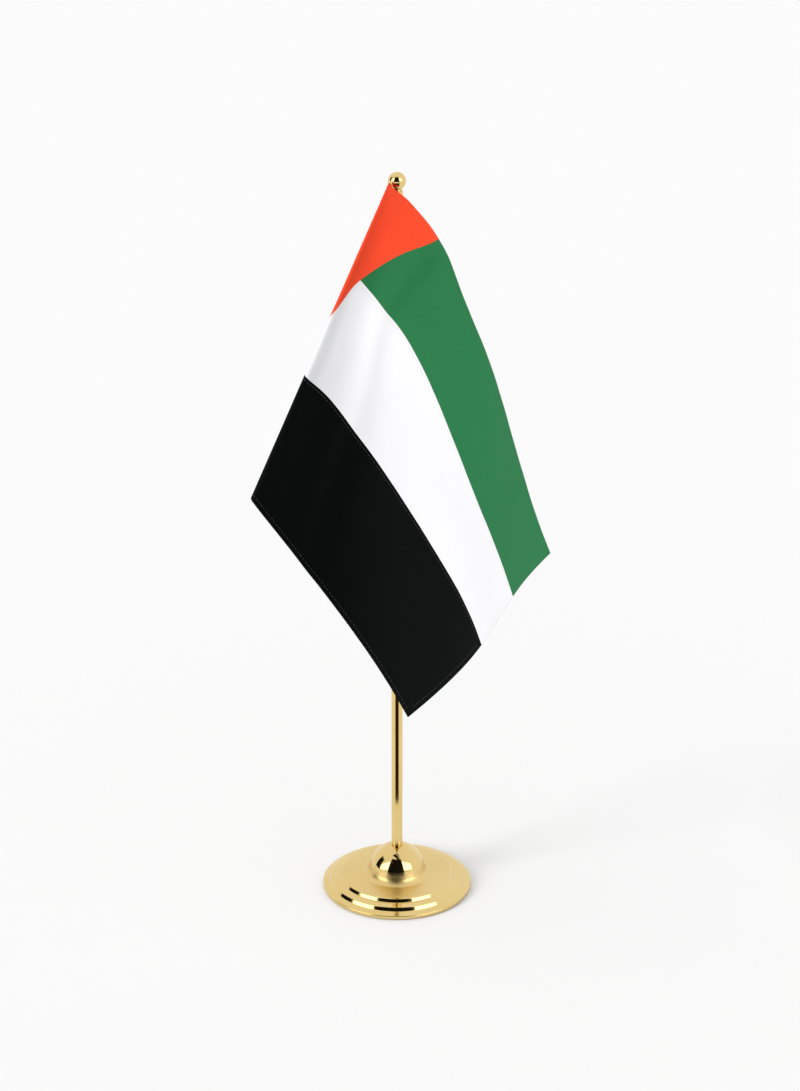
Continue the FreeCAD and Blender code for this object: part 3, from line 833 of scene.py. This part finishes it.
# ---------------------------------------------------------------- flag
def make_sleeve(material):
    """The loop of cloth round the pole, closed by the seam where the flag leaves it."""
    inside = 3.12
    middle_radius = inside + HALF_CLOTH
    seam_clearance = 0.25
    reach = np.hypot(*SEAM_CORNER[:2]) - seam_clearance
    towards_seam = math.atan2(SEAM_CORNER[1], SEAM_CORNER[0])
    tangent = math.acos(middle_radius / reach)
    ply = 0.16
    arc = np.linspace(tangent, 2 * math.pi - tangent, 72) + towards_seam
    wall = np.stack([np.cos(arc), np.sin(arc)], axis=-1) * middle_radius
    tip = np.array([math.cos(towards_seam), math.sin(towards_seam)]) * reach
    aside = np.array([-math.sin(towards_seam), math.cos(towards_seam)]) * ply
    shares = np.linspace(0, 1, 14)[:-1, None]
    start = (tip + aside) * (1 - shares) + wall[0] * shares
    end = (tip - aside) * (1 - shares) + wall[-1] * shares
    outline = np.concatenate([start, wall, end[::-1]])
    steps = np.linalg.norm(np.diff(outline, axis=0), axis=1)
    travelled = np.concatenate([[0], np.cumsum(steps)])
    heading = np.gradient(outline, axis=0)
    heading /= np.linalg.norm(heading, axis=1, keepdims=True)
    outward = np.stack([heading[:, 1], -heading[:, 0]], axis=-1)

    shoulder = middle_radius + 0.4
    rise = smooth_step((np.linalg.norm(outline, axis=1) - shoulder) / (reach - shoulder))
    tops = SLEEVE_TOP + (SEAM_CORNER[2] - SLEEVE_TOP) * rise
    shares = (edge_lines(0.0, 100.0, 1.1) / 100)[:, None]
    height = tops[None, :] * (1 - shares) + SLEEVE_BOTTOM * shares
    around = np.broadcast_to(travelled[None, :], height.shape)
    ruck_height = 0.22
    seam_hold = 2.5
    ripple = np.sin(height / 5.3 + 1.1 * np.sin(around / 3.0))
    ruck = 0.5 + 0.5 * ripple * np.sin(height / 13.0 + around / 4.0)
    off_seam = np.clip(np.minimum(around, travelled[-1] - around) / seam_hold, 0, 1)
    swelling = ruck_height * ruck * off_seam
    middle = np.concatenate([
        outline[None, :, :] + outward[None, :, :] * swelling[..., None],
        height[..., None],
    ], axis=-1)
    level = np.concatenate([outward, np.zeros((len(outline), 1))], axis=1)
    normals = np.broadcast_to(level, middle.shape)
    from_edge = np.minimum(tops[None, :] - height, height - SLEEVE_BOTTOM)
    rounding = round_over(from_edge, EDGE_RADIUS, EDGE_LEAST)
    hem = 0.5 * HEM_EXTRA * folded_over(from_edge, HEM_WIDTH)
    uvs = np.stack([around, SEAM_CORNER[2] - height], axis=-1) * UV_PER_MM
    plus = (HALF_CLOTH + hem) * rounding
    sleeve = closed_cloth("sleeve_loop", middle, normals, plus, HALF_CLOTH * rounding, uvs, material)
    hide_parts("flag_sleeve")
    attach(sleeve, "flag")
    return sleeve


# How far stitching stops short: of an open end, of a seam, of the fly, and of another line of stitches.
OPEN_END = 0.8
SEAM_END = 1.0
FLY_END = 1.2
CROSSING_END = 3.5
RED_SEAM_END = 2.5


def make_flag():
    """Four sewn panels, each with its stitching, and the sleeve."""
    panels = (
        ("red_hoist_panel", "hoist_panel_red", "cloth_red", (0, RED, 0, HOIST), (0.5, 1.6, 0.8), (
            ((SEAM_STITCH, OPEN_END), (SEAM_STITCH, HOIST - OPEN_END)),
            ((RED - SEAM_STITCH, OPEN_END), (RED - SEAM_STITCH, HOIST - OPEN_END)),
            ((CROSSING_END, HEM_STITCH), (RED - RED_SEAM_END, HEM_STITCH)),
            ((CROSSING_END, HOIST - HEM_STITCH), (RED - RED_SEAM_END, HOIST - HEM_STITCH)),
        )),
        ("green_stripe", "stripe_green", "cloth_green", (RED, FLY, 0, GREEN), (1.2, 1.8, 1.2), (
            ((RED + SEAM_END, HEM_STITCH), (FLY - FLY_END, HEM_STITCH)),
            ((FLY - HEM_STITCH, CROSSING_END), (FLY - HEM_STITCH, GREEN - SEAM_END)),
        )),
        ("white_stripe", "stripe_white", "cloth_white", (RED, FLY, GREEN, WHITE), (0.8, 1.6, 0.9), (
            ((RED + SEAM_END, GREEN + SEAM_STITCH), (FLY - FLY_END, GREEN + SEAM_STITCH)),
            ((FLY - HEM_STITCH, GREEN + CROSSING_END), (FLY - HEM_STITCH, WHITE - SEAM_END)),
        )),
        ("black_stripe", "stripe_black", "cloth_black", (RED, FLY, WHITE, HOIST), (0.8, 1.6, 1.0), (
            ((RED + SEAM_END, WHITE + SEAM_STITCH), (FLY - FLY_END, WHITE + SEAM_STITCH)),
            ((RED + SEAM_END, HOIST - HEM_STITCH), (FLY - FLY_END, HOIST - HEM_STITCH)),
            ((FLY - HEM_STITCH, WHITE + CROSSING_END), (FLY - HEM_STITCH, HOIST - CROSSING_END)),
        )),
    )
    gap = SEAM_GAP / 2
    for name, node, slot, edges, steps, stitch_lines in panels:
        satin = satin_material(f"satin_{name}", *CLOTHS[slot])
        left, right, top, bottom = edges
        panel = cloth_panel(
            name, left + gap * (left > 0), right - gap * (right < FLY),
            top + gap * (top > 0), bottom - gap * (bottom < HOIST), steps, satin)
        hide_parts(node)
        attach(panel, "flag")
        thread_colour = tuple(0.9 * part + 0.02 for part in CLOTHS[slot][0])
        thread = thread_material(f"thread_{name}", thread_colour)
        stitches = make_stitches(f"{name}_stitches", stitch_lines, thread)
        if node == "hoist_panel_red":
            make_sleeve(satin)


# ---------------------------------------------------------------- stop ring
def make_ring(material):
    """Moulded ring with a flat bore, a fine parting line and a slightly squared section."""
    low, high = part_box("stop_ring")
    outside = high.x / MM
    bore = 3.06
    middle = (low.z + high.z) / 2 / MM
    half = (high.z - low.z) / 2 / MM
    shoulder = 0.35
    line = 0.06
    outline = rounded([
        (bore, middle - half * 0.75, 0.15),
        (bore + shoulder, middle - half, 0.3),
        (outside - shoulder, middle - half, 0.55),
        (outside - line, middle - 2 * line, 0.0),
        (outside, middle - line, 0.0),
        (outside, middle + line, 0.0),
        (outside - line, middle + 2 * line, 0.0),
        (outside - shoulder, middle + half, 0.55),
        (bore + shoulder, middle + half, 0.3),
        (bore, middle + half * 0.75, 0.15),
    ])
    ring = lathe("stop_ring_moulded", [p * MM for p in outline], material, segments=96)
    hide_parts("stop_ring")
    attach(ring, "ring")


# ---------------------------------------------------------------- studio
FLOOR_SHADE = 0.955
STRIP_COLOUR = (0.03, 0.014, 0.005)


def make_floor():
    """Large plain pale floor."""
    material, _, shader = new_material("pale_floor", Roughness=0.9, Specular_IOR_Level=0.1)
    shader.inputs["Base Color"].default_value = (FLOOR_SHADE, FLOOR_SHADE, FLOOR_SHADE, 1)
    half = 40.0
    corners = [(-half, -half, 0), (half, -half, 0), (half, half, 0), (-half, half, 0)]
    floor = add_mesh("floor", corners, [(0, 1, 2, 3)], material, smooth=False)


CAMERA_PLACE = (0.0, -1.24337, 0.70346)
CAMERA_DOWN = 0.385944
CAMERA_LENS = 85.90
CAMERA_SHIFT = 0.00275


def make_camera():
    """In front, looking down a little over 22 degrees."""
    data = bpy.data.cameras.new("camera")
    data.sensor_fit = "VERTICAL"
    data.sensor_height = 36.0
    data.lens = CAMERA_LENS
    data.shift_x = CAMERA_SHIFT
    data.dof.use_dof = False
    camera = bpy.data.objects.new("camera", data)
    camera.location = CAMERA_PLACE
    camera.rotation_euler = (math.pi / 2 - CAMERA_DOWN, 0.0, 0.0)
    bpy.context.scene.collection.objects.link(camera)
    bpy.context.scene.camera = camera


# What reflections see. Softboxes are windows in a wall in front: sideways and up, as shares of the
# distance to the wall. Dark gaps are ranges of azimuth from straight in front, positive to the right, and
# of elevation, in degrees.
SURROUND = 0.95
SOFTBOXES = (
    ((-4.2, -0.85), (0.25, 1.35)),
    ((0.6, 2.5), (0.25, 1.35)),
)
SOFTBOX_STRENGTH = 3.0
DARK_GAPS = (
    ((-40, 31), (-1, 62)),
    ((-104, -79), (-8, 38)),
    ((-76, 68), (8, 13)),
)
DARK_STRENGTH = 0.005
DIFFUSE_STRENGTH = 0.8
EDGE_SOFTNESS = 0.02


def make_studio():
    """Reflections see a bright room with softboxes and dark gaps in front; other rays see plain white."""
    world = bpy.data.worlds.new("studio")
    bpy.context.scene.world = world
    world.use_nodes = True
    tree = world.node_tree
    background = tree.nodes["Background"]
    place = add_node(tree, "ShaderNodeTexCoord")
    parts = add_node(tree, "ShaderNodeSeparateXYZ")
    tree.links.new(place.outputs["Generated"], parts.inputs["Vector"])
    sideways, away, up = (parts.outputs[axis] for axis in "XYZ")
    towards = math_node(tree, "MULTIPLY", away, -1.0)
    azimuth = math_node(tree, "ARCTAN2", sideways, towards)
    elevation = math_node(tree, "ARCSINE", up)
    in_front = math_node(tree, "MAXIMUM", towards, 0.001)
    wall_sideways = math_node(tree, "DIVIDE", sideways, in_front)
    wall_up = math_node(tree, "DIVIDE", up, in_front)
    brightness = SURROUND
    panels = [(azimuth, elevation, np.radians(gap).tolist(), DARK_STRENGTH) for gap in DARK_GAPS]
    panels += [(wall_sideways, wall_up, box, SOFTBOX_STRENGTH) for box in SOFTBOXES]
    for across, above, (across_range, above_range), strength in panels:
        in_width = between(tree, across, *across_range, EDGE_SOFTNESS)
        in_height = between(tree, above, *above_range, EDGE_SOFTNESS)
        mask = math_node(tree, "MULTIPLY", in_width, in_height)
        mix = add_node(tree, "ShaderNodeMix")
        tree.links.new(mask, mix.inputs["Factor"])
        if isinstance(brightness, float):
            mix.inputs["A"].default_value = brightness
        else:
            tree.links.new(brightness, mix.inputs["A"])
        mix.inputs["B"].default_value = strength
        brightness = mix.outputs["Result"]
    path = add_node(tree, "ShaderNodeLightPath")
    choose = add_node(tree, "ShaderNodeMix")
    tree.links.new(path.outputs["Is Glossy Ray"], choose.inputs["Factor"])
    choose.inputs["A"].default_value = DIFFUSE_STRENGTH
    tree.links.new(brightness, choose.inputs["B"])
    tree.links.new(choose.outputs["Result"], background.inputs["Strength"])
    background.inputs["Color"].default_value = (1, 1, 1, 1)


def make_dark_strip():
    """A dark strip of floor in front that only reflections see: it draws the line down the pole."""
    material, _, shader = new_material("dark_strip", Roughness=1.0, Specular_IOR_Level=0.0)
    shader.inputs["Base Color"].default_value = (*STRIP_COLOUR, 1)
    near, far = 0.086, 1.4
    above_floor = 0.0005
    spread = 35
    turns = np.radians(np.linspace(-spread, spread, 15))
    corners = [(near * math.sin(a), -near * math.cos(a), above_floor) for a in turns]
    corners += [(far * math.sin(a), -far * math.cos(a), above_floor) for a in turns[::-1]]
    strip = add_mesh("dark_strip", corners, [tuple(range(len(corners)))], material, smooth=False)
    strip.visible_camera = False
    strip.visible_diffuse = False
    strip.visible_shadow = False
    strip.visible_transmission = False


KEY_SPREAD = 22
KEY_STRENGTH = 1.85
KEY_DIRECTION = (3.3, 2.0, -1.5)


def make_key_light():
    """Broad soft daylight from the left, partly in front and a little above; no reflection shows it."""
    data = bpy.data.lights.new("key", "SUN")
    data.angle = math.radians(KEY_SPREAD)
    data.energy = KEY_STRENGTH
    light = bpy.data.objects.new("key", data)
    light.rotation_euler = Vector(KEY_DIRECTION).to_track_quat("-Z", "Y").to_euler()
    light.visible_glossy = False
    bpy.context.scene.collection.objects.link(light)


# ---------------------------------------------------------------- put together
make_base(gold_material("gold_spun", GOLD, turned=True, satin=SATIN_RING))
make_pole(gold_material("gold_drawn", GOLD, turned=False))
make_ball(gold_material("gold_turned", GOLD, turned=True))
make_felt(felt_material())
make_ring(rubber_material())
make_flag()

steel = dull_metal_material("plated_steel", (0.55, 0.55, 0.56), 0.32, 260.0)
for part in ("flat_washer", "spring_washer", "pole_bolt", "finial_stud"):
    repaint(part, steel)
repaint("base_weight", dull_metal_material("cast_iron", (0.12, 0.12, 0.125), 0.62, 420.0))
brass = dull_metal_material("turned_brass", (0.72, 0.50, 0.22), 0.28, 300.0)
for part in ("pole_insert_lower", "pole_insert_upper"):
    repaint(part, brass)

make_floor()
make_camera()
make_dark_strip()
make_studio()
make_key_light()
bpy.context.scene.view_settings.view_transform = "Standard"
